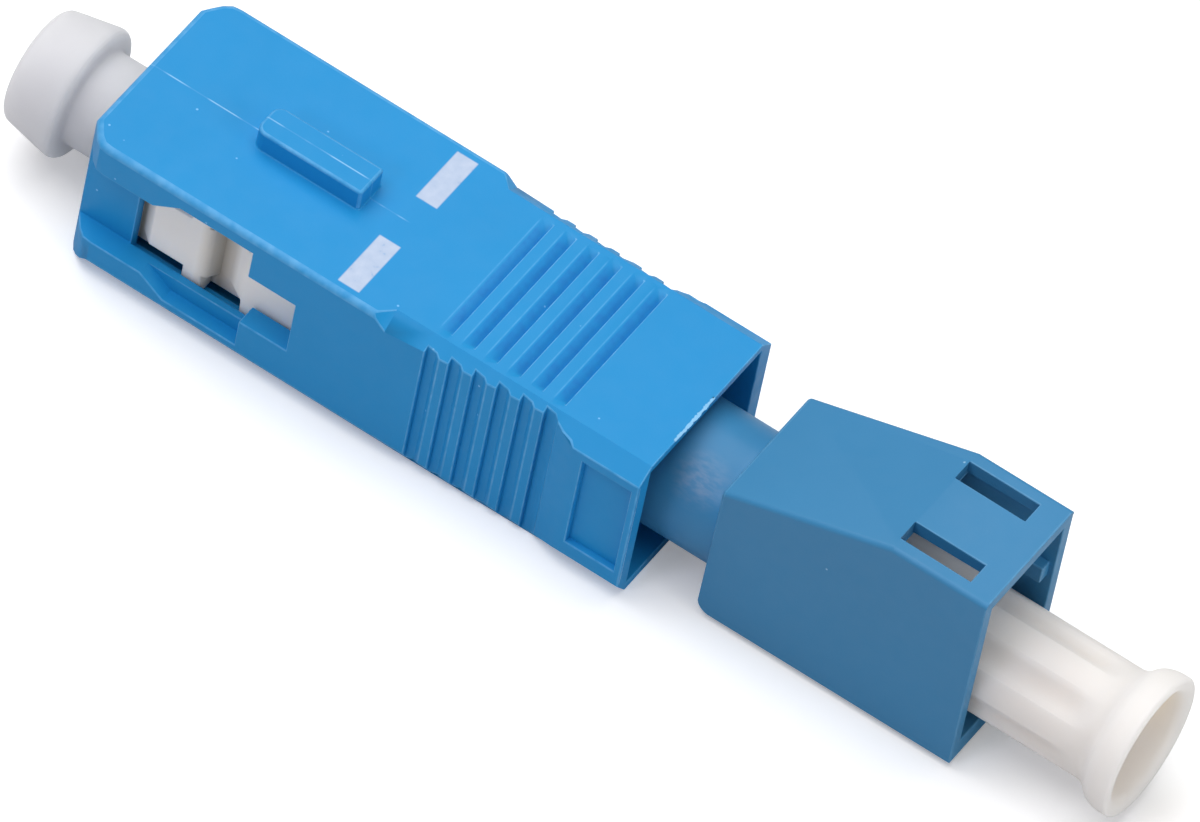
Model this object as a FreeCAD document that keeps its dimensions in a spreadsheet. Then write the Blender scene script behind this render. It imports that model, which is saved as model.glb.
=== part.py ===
import FreeCAD, Part
import os
import re

import Sketcher

# Simplex hybrid fibre adapter: a push-pull plug with a 2.5 mm ferrule at the front, a round neck, and a
# socket for a small latched plug with a 1.25 mm ferrule at the rear. A cap covers the ferrule and a plug
# closes the socket. Each piece is drawn on the optical axis: X runs from the plug's front face to the
# socket, Z is the key's side. Lengths are in millimetres and angles in degrees. A place called front, rear
# or end is a distance along X from the shell's front face.

SIZES = {
    # Push-pull shell: outer block
    "shell_length": 25.4,
    "shell_width": 9.0,
    "shell_height": 7.4,
    "shell_edge_radius": 0.22,
    "nose_cut_along": 1.2,
    "nose_cut_across": 1.05,
    "base_cut_across": 0.7,
    "base_cut_up": 0.85,
    "key_front": 5.2,
    "key_rear": 10.05,
    "key_width": 1.56,
    "key_height": 0.98,
    "key_nose_radius": 0.45,
    # Push-pull shell: grip, measured from the shell's rear end
    "grip_length": 11.55,
    "grip_cut_across": 0.75,
    "grip_cut_down": 0.6,
    "waist_from_end": 4.1,
    "waist_run_out": 1.1,
    "waist_depth": 0.45,
    "grooves_from_end": 9.8,
    "groove_pitch": 1.03,
    "side_groove_width": 0.62,
    "side_groove_depth": 0.28,
    "top_groove_width": 0.5,
    "top_groove_depth": 0.2,
    "top_groove_length": 6.9,
    "panel_from_end": 0.3,
    "panel_length": 2.2,
    "panel_height": 4.8,
    "panel_rise": 0.25,
    "panel_depth": 0.3,
    # Push-pull shell: side windows and rear flare
    "window_rise": 0.19,
    "channel_height": 4.0,
    "channel_depth": 1.0,
    "window_front": 2.4,
    "recess_ramp_front": 3.45,
    "recess_ramp_rear": 4.6,
    "window_rear": 7.9,
    "recess_height": 5.46,
    "recess_depth": 0.62,
    "slot_rear": 10.05,
    "slot_height": 2.7,
    "flare_length": 3.4,
    "flare_width": 7.5,
    "flare_height": 6.7,
    # Plug frame, and the shell's travel on it
    "frame_front": 0.35,
    "frame_length": 16.6,
    "frame_width": 5.8,
    "frame_height": 5.7,
    "frame_corner_cut": 0.8,
    "slide_gap": 0.1,
    "grip_travel": 1.4,
    "rail_reach": 6.9,
    "rail_height": 4.4,
    "rail_front": 7.3,
    "rail_rear": 11.0,
    "latch_height": 2.8,
    "latch_ramp_length": 0.6,
    "boss_front": 4.65,
    "boss_rear": 5.65,
    "valley_run_in": 0.35,
    "valley_length": 0.45,
    "ferrule_room": 4.9,
    "shoulder_front": 6.8,
    "shoulder_rear": 7.6,
    "shoulder_bore": 3.0,
    "spring_bore": 4.7,
    "snap_from_end": 1.15,
    "snap_length": 1.2,
    "snap_width": 2.0,
    "snap_reach": 0.35,
    # Ferrules, their metal body and the fibre
    "seat_gap": 0.05,
    "glue_gap": 0.01,
    "ferrule_diameter": 2.5,
    "ferrule_length": 10.6,
    "ferrule_proud": 0.4,
    "ferrule_tip_cut": 0.35,
    "flange_diameter": 4.4,
    "flange_length": 1.6,
    "hub_diameter": 3.2,
    "hub_length": 1.95,
    "tube_diameter": 2.4,
    "tube_end": 24.6,
    "duct_diameter": 0.9,
    "stub_diameter": 1.25,
    "stub_length": 8.8,
    "stub_seat": 3.8,
    "stub_tip_cut": 0.2,
    "fibre_diameter": 0.125,
    "fibre_gap": 0.02,
    # Spring
    "spring_diameter": 3.75,
    "spring_wire": 0.4,
    "spring_turns": 4.0,
    # Socket housing with its neck
    "nose_length": 3.45,
    "neck_diameter": 5.6,
    "neck_bore": 3.0,
    "socket_back": 28.05,
    "socket_crease": 35.25,
    "socket_mouth": 39.5,
    "socket_width": 6.0,
    "socket_base": 3.38,
    "socket_roof": 6.13,
    "socket_roof_back": 3.6,
    "socket_edge_radius": 0.22,
    "socket_heel_radius": 0.6,
    "bay_floor": 29.8,
    "bay_width": 4.9,
    "roof_wall": 0.62,
    "catch_from_mouth": 0.4,
    "catch_length": 1.6,
    "catch_height": 0.85,
    "catch_foot": 2.75,
    "catch_reach": 0.5,
    "latch_slot_front": 35.2,
    "latch_slot_length": 3.15,
    "latch_slot_width": 1.0,
    "latch_slot_spacing": 3.7,
    # Split sleeve and its holder
    "sleeve_wall": 0.2,
    "sleeve_length": 6.6,
    "sleeve_slit": 0.22,
    "sleeve_front": 26.4,
    "sleeve_play": 0.05,
    "sleeve_end_play": 0.1,
    "holder_lip": 0.4,
    "holder_lip_bore": 1.4,
    "holder_flange": 4.2,
    "holder_flange_length": 0.7,
    # Cap on the plug's ferrule
    "cap_reach": 4.6,
    "cap_stem_diameter": 4.05,
    "cap_stem_end": 5.6,
    "cap_head_length": 2.5,
    "cap_head_diameter": 5.76,
    "cap_crown_diameter": 4.8,
    "cap_crown_cut": 0.22,
    "cap_brim_cut": 0.34,
    "cap_bore_front": 1.0,
    # Plug in the socket
    "plug_diameter": 4.74,
    "plug_front_gap": 0.3,
    "plug_end": 46.0,
    "plug_head_length": 1.55,
    "plug_head_diameter": 6.04,
    "plug_shoulder_length": 0.35,
    "plug_shoulder_diameter": 5.64,
    "plug_flare_length": 0.8,
    "plug_rim_cut": 0.12,
    "plug_bore_depth": 3.2,
    "plug_dish_diameter": 4.7,
    "plug_dish_floor": 3.8,
    "plug_dish_depth": 2.6,
    "plug_lead_cut": 0.3,
    "plug_turn": 41.0,
    "flute_diameter": 3.0,
    "flute_depth": 0.22,
    "flute_run_out": 0.7,
    "bore_play": 0.05,
    "holder_play": 0.1,
}
GROOVES = 6
FLUTES = 6
WIRE_SIDES = 6
FULL_TURN = 360
# Lengths, areas or volumes that differ by less than this count as equal.
CLOSE = 1e-3

doc = FreeCAD.newDocument("hybrid_fibre_adapter")
sheet = doc.addObject("Spreadsheet::Sheet", "sizes")
for row, (alias, number) in enumerate(SIZES.items(), start=1):
    sheet.set(f"A{row}", alias)
    sheet.set(f"B{row}", str(number))
    sheet.setAlias(f"B{row}", alias)
doc.recompute()


def tied(formula):
    """The formula as an expression on the sheet: each size's name gets the sheet's name in front."""
    return re.sub(r"[a-z_]+", lambda word: f"sizes.{word[0]}" if word[0] in SIZES else word[0], formula)


def measure(formula):
    """The formula's value in millimetres."""
    return float(sheet.evalExpression(tied(formula)))


# The row's origin lies under the middle of the whole adapter, at the height of the shell's underside.
ROW_PLACE = {"Placement.Base.x": "(cap_reach - plug_end) / 2", "Placement.Base.z": "shell_height / 2"}


def new_body(label):
    """An empty body on the optical axis, placed in the row's frame."""
    body = doc.addObject("PartDesign::Body", label)
    body.Label = label
    for place, formula in ROW_PLACE.items():
        body.setExpression(place, tied(formula))
    return body


def origin_part(body, role):
    return next(part for part in body.Origin.OriginFeatures if part.Role == role)


def sketch(body, name, role, offset="0"):
    """An empty sketch on one of the body's origin planes, moved along the plane's normal by the offset."""
    drawing = body.newObject("Sketcher::SketchObject", name)
    drawing.AttachmentSupport = [(origin_part(body, role), "")]
    drawing.MapMode = "FlatFace"
    drawing.setExpression("AttachmentOffset.Base.z", tied(offset))
    return drawing


def tie_point(drawing, line, end, across, up):
    """Hold one end of a line at a place that the sheet gives."""
    for kind, axis, formula in (("DistanceX", -2, across), ("DistanceY", -1, up)):
        if formula == "0":
            drawing.addConstraint(Sketcher.Constraint("PointOnObject", line, end, axis))
            continue
        held = drawing.addConstraint(Sketcher.Constraint(kind, -1, 1, line, end, measure(formula)))
        drawing.setExpression(f"Constraints[{held}]", tied(formula))


def outline(drawing, corners):
    """A closed outline with straight sides, each corner a pair of formulas."""
    points = [FreeCAD.Vector(measure(across), measure(up), 0) for across, up in corners]
    first = len(drawing.Geometry)
    count = len(points)
    for number, point in enumerate(points):
        drawing.addGeometry(Part.LineSegment(point, points[(number + 1) % count]), False)
    for number, (across, up) in enumerate(corners):
        line_before = first + (number - 1) % count
        drawing.addConstraint(Sketcher.Constraint("Coincident", first + number, 1, line_before, 2))
        tie_point(drawing, first + number, 1, across, up)


def rectangle(drawing, left, right, bottom, top):
    outline(drawing, [(left, bottom), (right, bottom), (right, top), (left, top)])


def disc(drawing, diameter, across="0", up="0"):
    """A circle whose diameter and centre are formulas."""
    centre = FreeCAD.Vector(measure(across), measure(up), 0)
    circle = Part.Circle(centre, FreeCAD.Vector(0, 0, 1), measure(diameter) / 2)
    line = drawing.addGeometry(circle, False)
    held = drawing.addConstraint(Sketcher.Constraint("Diameter", line, measure(diameter)))
    drawing.setExpression(f"Constraints[{held}]", tied(diameter))
    tie_point(drawing, line, 3, across, up)


def add_feature(body, feature, before):
    """Recompute the body with its new feature as the tip, and stop if the feature changed nothing."""
    doc.recompute()
    body.Tip = feature
    doc.recompute()
    if abs(body.Shape.Volume - before) < CLOSE:
        raise RuntimeError(f"{feature.Name} changes nothing")
    return feature


def volume_so_far(body):
    return 0.0 if body.Shape.isNull() else body.Shape.Volume


def pad(body, drawing, length, symmetric=False, backward=False):
    before = volume_so_far(body)
    feature = body.newObject("PartDesign::Pad", f"{drawing.Name}_pad")
    feature.Profile = drawing
    feature.setExpression("Length", tied(length))
    feature.SideType = "Symmetric" if symmetric else "One side"
    feature.Reversed = backward
    return add_feature(body, feature, before)


def pocket(body, drawing, length=None, symmetric=False, forward=False):
    """Cut against the sketch's normal, along it when forward, or right through when no length is given."""
    before = volume_so_far(body)
    feature = body.newObject("PartDesign::Pocket", f"{drawing.Name}_cut")
    feature.Profile = drawing
    if length is None:
        feature.Type = "ThroughAll"
    else:
        feature.setExpression("Length", tied(length))
    feature.SideType = "Symmetric" if symmetric else "One side"
    feature.Reversed = forward
    return add_feature(body, feature, before)


def turn(body, drawing):
    """Revolve a half section, drawn above the X axis, into a turned or moulded round piece."""
    feature = body.newObject("PartDesign::Revolution", f"{drawing.Name}_turn")
    feature.Profile = drawing
    feature.ReferenceAxis = (drawing, ["H_Axis"])
    feature.Angle = FULL_TURN
    return add_feature(body, feature, 0.0)


def mirror(body, features, role):
    before = volume_so_far(body)
    feature = body.newObject("PartDesign::Mirrored", f"{features[0].Name}_mirror")
    feature.Originals = features
    feature.MirrorPlane = (origin_part(body, role), [""])
    return add_feature(body, feature, before)


def round_edges(body, radius, chosen):
    """Fillet the tip's edges that the chosen test picks."""
    before = volume_so_far(body)
    tip = body.Tip
    names = [f"Edge{number}" for number, edge in enumerate(tip.Shape.Edges, start=1) if chosen(edge)]
    feature = body.newObject("PartDesign::Fillet", f"{tip.Name}_round")
    feature.Base = (tip, names)
    feature.setExpression("Radius", tied(radius))
    return add_feature(body, feature, before)


def along_x(edge, across, up):
    """Whether a straight edge runs along X at the given distances from the axis."""
    box = edge.BoundBox
    straight = box.YLength < CLOSE and box.ZLength < CLOSE
    return straight and abs(box.YMin - across) < CLOSE and abs(box.ZMin - up) < CLOSE


def latch_window(body, shell_side):
    """One side of the shell: the hooks' channel, the ramped recess, and the window and slot cut through."""
    def band(height):
        return f"window_rise - {height} / 2", f"window_rise + {height} / 2"

    through = f"{shell_side} - rail_reach / 2"
    channel_foot, channel_top = band("channel_height")
    recess_foot, recess_top = band("recess_height")
    channel = sketch(body, "latch_channel", "XZ_Plane", shell_side)
    rectangle(channel, "0", "recess_ramp_front", channel_foot, channel_top)
    recess = sketch(body, "hook_recess", "XZ_Plane", shell_side)
    outline(recess, [
        ("window_front", channel_foot),
        ("recess_ramp_front", channel_foot),
        ("recess_ramp_rear", recess_foot),
        ("window_rear", recess_foot),
        ("window_rear", recess_top),
        ("recess_ramp_rear", recess_top),
        ("recess_ramp_front", channel_top),
        ("window_front", channel_top),
    ])
    window = sketch(body, "latch_window", "XZ_Plane", shell_side)
    rectangle(window, "window_front", "window_rear", channel_foot, channel_top)
    slot = sketch(body, "window_slot", "XZ_Plane", shell_side)
    rectangle(slot, "window_rear", "slot_rear", *band("slot_height"))
    return [
        pocket(body, channel, "channel_depth"),
        pocket(body, recess, "recess_depth"),
        pocket(body, window, through),
        pocket(body, slot, through),
    ]


def outer_housing():
    """Push-pull shell: a moulded sleeve with key, grip, latch windows and a flared rear end."""
    body = new_body("sc_outer_housing")
    half_width = "shell_width / 2"
    half_height = "shell_height / 2"
    grip_front = "(shell_length - grip_length)"
    waist_front = "(shell_length - waist_from_end)"
    waist_slope = "waist_depth / (grip_length - waist_from_end)"

    section = sketch(body, "shell_section", "YZ_Plane")
    outline(section, [
        (f"-{half_width}", half_height),
        (half_width, half_height),
        (half_width, f"base_cut_up - {half_height}"),
        (f"{half_width} - base_cut_across", f"-{half_height}"),
        (f"base_cut_across - {half_width}", f"-{half_height}"),
        (f"-{half_width}", f"base_cut_up - {half_height}"),
    ])
    pad(body, section, "shell_length")
    top = measure(half_height)
    side = measure(half_width)
    round_edges(body, "shell_edge_radius", lambda edge: any(along_x(edge, y, top) for y in (-side, side)))

    nose = sketch(body, "nose_corner", "XY_Plane")
    outline(nose, [
        ("0", half_width),
        ("nose_cut_along", half_width),
        ("0", f"{half_width} - nose_cut_across"),
    ])
    mirror(body, [pocket(body, nose, symmetric=True)], "XZ_Plane")

    grip_edge = sketch(body, "grip_edge", "YZ_Plane", grip_front)
    outline(grip_edge, [
        (f"{half_width} - grip_cut_across", half_height),
        (half_width, half_height),
        (half_width, f"{half_height} - grip_cut_down"),
    ])
    mirror(body, [pocket(body, grip_edge, "grip_length", forward=True)], "XZ_Plane")

    waist = sketch(body, "grip_waist", "XY_Plane")
    outline(waist, [
        (grip_front, half_width),
        (waist_front, f"{half_width} - waist_depth"),
        (f"{waist_front} + waist_run_out", half_width),
    ])
    mirror(body, [pocket(body, waist, symmetric=True)], "XZ_Plane")

    side_grooves = sketch(body, "side_grooves", "XY_Plane")
    for number in range(GROOVES):
        front = f"shell_length - grooves_from_end + {number} * groove_pitch"
        rear = f"{front} + side_groove_width"
        outline(side_grooves, [
            (front, half_width),
            (front, f"{half_width} - side_groove_depth - ({front} - {grip_front}) * {waist_slope}"),
            (rear, f"{half_width} - ({rear} - {grip_front}) * {waist_slope}"),
            (rear, half_width),
        ])
    mirror(body, [pocket(body, side_grooves, symmetric=True)], "XZ_Plane")

    top_grooves = sketch(body, "top_grooves", "XZ_Plane")
    for number in range(GROOVES):
        front = f"shell_length - grooves_from_end + {number} * groove_pitch"
        rear = f"{front} + top_groove_width"
        outline(top_grooves, [
            (front, half_height),
            (rear, f"{half_height} - top_groove_depth"),
            (rear, half_height),
        ])
    mirror(body, [pocket(body, top_grooves, "top_groove_length", symmetric=True)], "XY_Plane")

    key = sketch(body, "key_bar", "XY_Plane", half_height)
    rectangle(key, "key_front", "key_rear", "-key_width / 2", "key_width / 2")
    pad(body, key, "key_height")
    key_front = measure("key_front")

    def is_key_corner(edge):
        box = edge.BoundBox
        upright = box.XLength < CLOSE and box.YLength < CLOSE
        return upright and abs(box.XMin - key_front) < CLOSE and box.ZMin > 0

    round_edges(body, "key_nose_radius", is_key_corner)

    cavity_side = "frame_width / 2 + slide_gap"
    cavity_top = "frame_height / 2 + slide_gap"
    cavity = sketch(body, "cavity", "YZ_Plane")
    rectangle(cavity, f"-({cavity_side})", cavity_side, f"-({cavity_top})", cavity_top)
    pocket(body, cavity, forward=True)

    rail_room = sketch(body, "rail_room", "YZ_Plane", "window_front")
    rail_side = "rail_reach / 2 + slide_gap"
    rail_top = "rail_height / 2 + slide_gap"
    rectangle(rail_room, f"-({rail_side})", rail_side, f"-({rail_top})", rail_top)
    pocket(body, rail_room, "rail_rear + grip_travel + slide_gap - window_front", forward=True)

    flare_front = sketch(body, "flare_front", "YZ_Plane", "shell_length - flare_length")
    rectangle(flare_front, f"-({cavity_side})", cavity_side, f"-({cavity_top})", cavity_top)
    flare_rear = sketch(body, "flare_rear", "YZ_Plane", "shell_length")
    rectangle(flare_rear, "-flare_width / 2", "flare_width / 2", "-flare_height / 2", "flare_height / 2")
    before = volume_so_far(body)
    flare = body.newObject("PartDesign::SubtractiveLoft", "rear_flare")
    flare.Profile = flare_front
    flare.Sections = [flare_rear]
    add_feature(body, flare, before)

    side_cuts = latch_window(body, half_width)
    mirror(body, side_cuts, "XZ_Plane")

    panel = sketch(body, "side_panel", "XZ_Plane", half_width)
    panel_rear = "shell_length - panel_from_end"
    rectangle(panel, f"{panel_rear} - panel_length", panel_rear,
              "panel_rise - panel_height / 2", "panel_rise + panel_height / 2")
    pocket(body, panel, "panel_depth")
    return body


FRAME_REAR = "(frame_front + frame_length)"
SNAP_FRONT = f"({FRAME_REAR} - snap_from_end - snap_length)"
NOSE_FRONT = f"({FRAME_REAR} - nose_length)"


def plug_frame():
    """Inner frame: the ferrule's room, spring bore, guide rails and the boss that the hooks catch on."""
    body = new_body("sc_plug_frame")
    side = "frame_width / 2"
    reach = "rail_reach / 2"
    root = "frame_width / 2 - (frame_width - ferrule_room) / 4"

    section = sketch(body, "frame_section", "YZ_Plane", "frame_front")
    top = "frame_height / 2"
    flat_side = f"{side} - frame_corner_cut"
    flat_top = f"{top} - frame_corner_cut"
    outline(section, [
        (f"-({flat_side})", f"-{top}"),
        (flat_side, f"-{top}"),
        (side, f"-({flat_top})"),
        (side, flat_top),
        (flat_side, top),
        (f"-({flat_side})", top),
        (f"-{side}", flat_top),
        (f"-{side}", f"-({flat_top})"),
    ])
    pad(body, section, "frame_length")

    latch = sketch(body, "latch_rib", "XY_Plane")
    latch_front = "window_front + slide_gap"
    outline(latch, [
        (latch_front, root),
        (latch_front, side),
        (f"{latch_front} + latch_ramp_length", reach),
        ("boss_rear", reach),
        ("boss_rear + valley_run_in", side),
        ("boss_rear + valley_run_in + valley_length", side),
        ("rail_front", reach),
        ("rail_rear", reach),
        ("rail_rear", root),
    ])
    rails = sketch(body, "boss_and_rail", "XY_Plane")
    rectangle(rails, "boss_front", "boss_rear", root, reach)
    rectangle(rails, "rail_front", "rail_rear", root, reach)
    side_pads = [
        pad(body, latch, "latch_height", symmetric=True),
        pad(body, rails, "rail_height", symmetric=True),
    ]
    mirror(body, side_pads, "XZ_Plane")

    room = sketch(body, "ferrule_opening", "YZ_Plane", "frame_front")
    disc(room, "ferrule_room")
    pocket(body, room, "shoulder_front - frame_front", forward=True)
    shoulder = sketch(body, "shoulder_opening", "YZ_Plane", "shoulder_front")
    disc(shoulder, "shoulder_bore")
    pocket(body, shoulder, "shoulder_rear - shoulder_front", forward=True)
    spring_room = sketch(body, "spring_room", "YZ_Plane", "shoulder_rear")
    disc(spring_room, "spring_bore")
    pocket(body, spring_room, f"{FRAME_REAR} - shoulder_rear", forward=True)

    snaps = sketch(body, "snap_windows", "XY_Plane")
    rectangle(snaps, SNAP_FRONT, f"{SNAP_FRONT} + snap_length", "-snap_width / 2", "snap_width / 2")
    pocket(body, snaps, symmetric=True)
    return body


def plug_ferrule():
    """Zirconia ferrule of the plug, with a cut edge at its polished tip and a fine bore for the fibre."""
    body = new_body("sc_ferrule")
    tip = "-ferrule_proud"
    rear = "ferrule_length - ferrule_proud"
    bore = "fibre_diameter / 2 + fibre_gap"
    section = sketch(body, "ferrule_section", "XY_Plane")
    outline(section, [
        (tip, bore),
        (tip, "ferrule_diameter / 2 - ferrule_tip_cut"),
        ("ferrule_tip_cut - ferrule_proud", "ferrule_diameter / 2"),
        (rear, "ferrule_diameter / 2"),
        (rear, bore),
    ])
    turn(body, section)
    return body


def metal_body():
    """Turned metal body: flange and hub that hold the plug's ferrule, and a tube that holds the stub."""
    body = new_body("ferrule_body")
    flange_front = "shoulder_rear + seat_gap"
    flange_rear = f"{flange_front} + flange_length"
    hub_rear = f"{flange_rear} + hub_length"
    ferrule_seat = "ferrule_diameter / 2 + glue_gap"
    stub_seat = "stub_diameter / 2 + glue_gap"
    ferrule_stop = "ferrule_length - ferrule_proud + glue_gap"
    stub_stop = "tube_end - stub_seat"
    section = sketch(body, "metal_section", "XY_Plane")
    outline(section, [
        (flange_front, ferrule_seat),
        (flange_front, "flange_diameter / 2"),
        (flange_rear, "flange_diameter / 2"),
        (flange_rear, "hub_diameter / 2"),
        (hub_rear, "hub_diameter / 2"),
        (hub_rear, "tube_diameter / 2"),
        ("tube_end", "tube_diameter / 2"),
        ("tube_end", stub_seat),
        (stub_stop, stub_seat),
        (stub_stop, "duct_diameter / 2"),
        (ferrule_stop, "duct_diameter / 2"),
        (ferrule_stop, ferrule_seat),
    ])
    turn(body, section)
    return body


STUB_FRONT = "tube_end - stub_seat + glue_gap"


def socket_ferrule():
    """Zirconia stub that meets the ferrule of the plug put into the socket."""
    body = new_body("lc_ferrule_stub")
    tip = f"{STUB_FRONT} + stub_length"
    bore = "fibre_diameter / 2 + fibre_gap"
    section = sketch(body, "stub_section", "XY_Plane")
    outline(section, [
        (STUB_FRONT, bore),
        (STUB_FRONT, "stub_diameter / 2"),
        (f"{tip} - stub_tip_cut", "stub_diameter / 2"),
        (tip, "stub_diameter / 2 - stub_tip_cut"),
        (tip, bore),
    ])
    turn(body, section)
    return body


def fibre():
    """Bare glass fibre from one polished tip to the other."""
    body = new_body("glass_fibre")
    section = sketch(body, "fibre_section", "YZ_Plane", "-ferrule_proud")
    disc(section, "fibre_diameter")
    pad(body, section, f"ferrule_proud + {STUB_FRONT} + stub_length")
    return body


def spring():
    """Coil spring between the flange and the end of the neck, its round wire drawn with a few flat sides."""
    body = new_body("ferrule_spring")
    front = "shoulder_rear + seat_gap + flange_length + seat_gap + spring_wire / 2"
    rear = f"{NOSE_FRONT} - seat_gap - spring_wire / 2"
    section = sketch(body, "spring_wire_section", "XY_Plane")
    corners = [f"{FULL_TURN} * {number} / {WIRE_SIDES}" for number in range(WIRE_SIDES)]
    outline(section, [
        (f"{front} + spring_wire / 2 * cos({angle})", f"spring_diameter / 2 + spring_wire / 2 * sin({angle})")
        for angle in corners
    ])
    coil = body.newObject("PartDesign::AdditiveHelix", "spring_coil")
    coil.Profile = section
    coil.ReferenceAxis = (section, ["H_Axis"])
    coil.Mode = "height-turns-angle"
    coil.setExpression("Height", tied(f"{rear} - ({front})"))
    coil.setExpression("Turns", tied("spring_turns"))
    add_feature(body, coil, 0.0)
    return body


def socket_housing():
    """Socket moulding: neck and snap nose in front, then the plug bay with its latch slots and catches."""
    body = new_body("lc_housing")
    neck_front = f"{FRAME_REAR} + seat_gap"
    nose_diameter = "spring_bore - 2 * seat_gap"
    profile = sketch(body, "socket_profile", "XZ_Plane")
    outline(profile, [
        ("socket_back", "-socket_base"),
        ("socket_mouth", "-socket_base"),
        ("socket_mouth", "socket_roof"),
        ("socket_crease", "socket_roof"),
        ("socket_back", "socket_roof_back"),
    ])
    pad(body, profile, "socket_width", symmetric=True)
    back = measure("socket_back")
    base = -measure("socket_base")
    half = measure("socket_width / 2")

    def is_heel(edge):
        box = edge.BoundBox
        return box.YLength > half and abs(box.XMax - back) < CLOSE and abs(box.ZMax - base) < CLOSE

    round_edges(body, "socket_heel_radius", is_heel)

    def is_roof_edge(edge):
        box = edge.BoundBox
        return box.YLength < CLOSE and box.XLength > half / 2 and box.ZMax > 0

    round_edges(body, "socket_edge_radius", is_roof_edge)

    neck = sketch(body, "neck_section", "YZ_Plane", neck_front)
    disc(neck, "neck_diameter")
    pad(body, neck, f"socket_back + roof_wall - ({neck_front})")
    nose = sketch(body, "neck_nose", "YZ_Plane", NOSE_FRONT)
    disc(nose, nose_diameter)
    pad(body, nose, f"{neck_front} + roof_wall - {NOSE_FRONT}")
    barb = sketch(body, "snap_barb", "XZ_Plane")
    barb_front = f"{SNAP_FRONT} + seat_gap"
    barb_rear = f"{SNAP_FRONT} + snap_length - seat_gap"
    outline(barb, [
        (barb_front, f"({nose_diameter} + neck_bore) / 4"),
        (barb_front, f"({nose_diameter}) / 2"),
        (barb_rear, f"({nose_diameter}) / 2 + snap_reach"),
        (barb_rear, f"({nose_diameter} + neck_bore) / 4"),
    ])
    mirror(body, [pad(body, barb, "snap_width - 2 * seat_gap", symmetric=True)], "XY_Plane")

    bore = sketch(body, "neck_opening", "YZ_Plane", NOSE_FRONT)
    disc(bore, "neck_bore")
    pocket(body, bore, f"bay_floor - {NOSE_FRONT}", forward=True)
    bay = sketch(body, "plug_bay", "XZ_Plane")
    inner_roof = "socket_roof - roof_wall"
    roof_slope = "(socket_roof - socket_roof_back) / (socket_crease - socket_back)"
    outline(bay, [
        ("bay_floor", "-bay_width / 2"),
        ("socket_mouth", "-bay_width / 2"),
        ("socket_mouth", inner_roof),
        ("socket_crease", inner_roof),
        ("bay_floor", f"{inner_roof} - (socket_crease - bay_floor) * {roof_slope}"),
    ])
    pocket(body, bay, "bay_width", symmetric=True)

    latch_slot = sketch(body, "latch_slot", "XY_Plane", "socket_roof")
    rectangle(latch_slot, "latch_slot_front", "latch_slot_front + latch_slot_length",
              "(latch_slot_spacing - latch_slot_width) / 2", "(latch_slot_spacing + latch_slot_width) / 2")
    mirror(body, [pocket(body, latch_slot, "roof_wall")], "XZ_Plane")

    catch = sketch(body, "latch_catch", "XY_Plane", "catch_foot")
    wall_middle = "(socket_width + bay_width) / 4"
    catch_side = "bay_width / 2 - catch_reach"
    catch_rear = "socket_mouth - catch_from_mouth"
    outline(catch, [
        (f"{catch_rear} - catch_length", wall_middle),
        (f"{catch_rear} - catch_length", catch_side),
        (f"{catch_rear} - catch_reach", catch_side),
        (catch_rear, "bay_width / 2"),
        (catch_rear, wall_middle),
    ])
    mirror(body, [pad(body, catch, "catch_height")], "XZ_Plane")
    return body


SLEEVE_BORE = "stub_diameter + 2 * glue_gap"
SLEEVE_DIAMETER = f"{SLEEVE_BORE} + 2 * sleeve_wall"


def split_sleeve():
    """Zirconia sleeve, slit along its top so that it grips both ferrules."""
    body = new_body("split_sleeve")
    section = sketch(body, "sleeve_section", "YZ_Plane", "sleeve_front")
    disc(section, SLEEVE_DIAMETER)
    disc(section, SLEEVE_BORE)
    pad(body, section, "sleeve_length")
    slit = sketch(body, "sleeve_slit_cut", "YZ_Plane", "sleeve_front")
    rectangle(slit, "-sleeve_slit / 2", "sleeve_slit / 2", "0", SLEEVE_DIAMETER)
    pocket(body, slit, "sleeve_length", forward=True)
    return body


HOLDER_DIAMETER = "neck_bore - 2 * seat_gap"
HOLDER_END = "sleeve_front + sleeve_length + sleeve_end_play + holder_lip"


def sleeve_holder():
    """Moulded bush in the bay's floor, with a lip at each end that keeps the sleeve in."""
    body = new_body("sleeve_holder")
    room_front = "sleeve_front - sleeve_end_play"
    room_rear = "sleeve_front + sleeve_length + sleeve_end_play"
    room = f"({SLEEVE_DIAMETER}) / 2 + sleeve_play"
    flange_front = "bay_floor + seat_gap"
    flange_rear = f"{flange_front} + holder_flange_length"
    section = sketch(body, "holder_section", "XY_Plane")
    outline(section, [
        (f"{room_front} - holder_lip", "holder_lip_bore / 2"),
        (f"{room_front} - holder_lip", f"({HOLDER_DIAMETER}) / 2"),
        (flange_front, f"({HOLDER_DIAMETER}) / 2"),
        (flange_front, "holder_flange / 2"),
        (flange_rear, "holder_flange / 2"),
        (flange_rear, f"({HOLDER_DIAMETER}) / 2"),
        (HOLDER_END, f"({HOLDER_DIAMETER}) / 2"),
        (HOLDER_END, "holder_lip_bore / 2"),
        (room_rear, "holder_lip_bore / 2"),
        (room_rear, room),
        (room_front, room),
        (room_front, "holder_lip_bore / 2"),
    ])
    turn(body, section)
    return body


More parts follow.
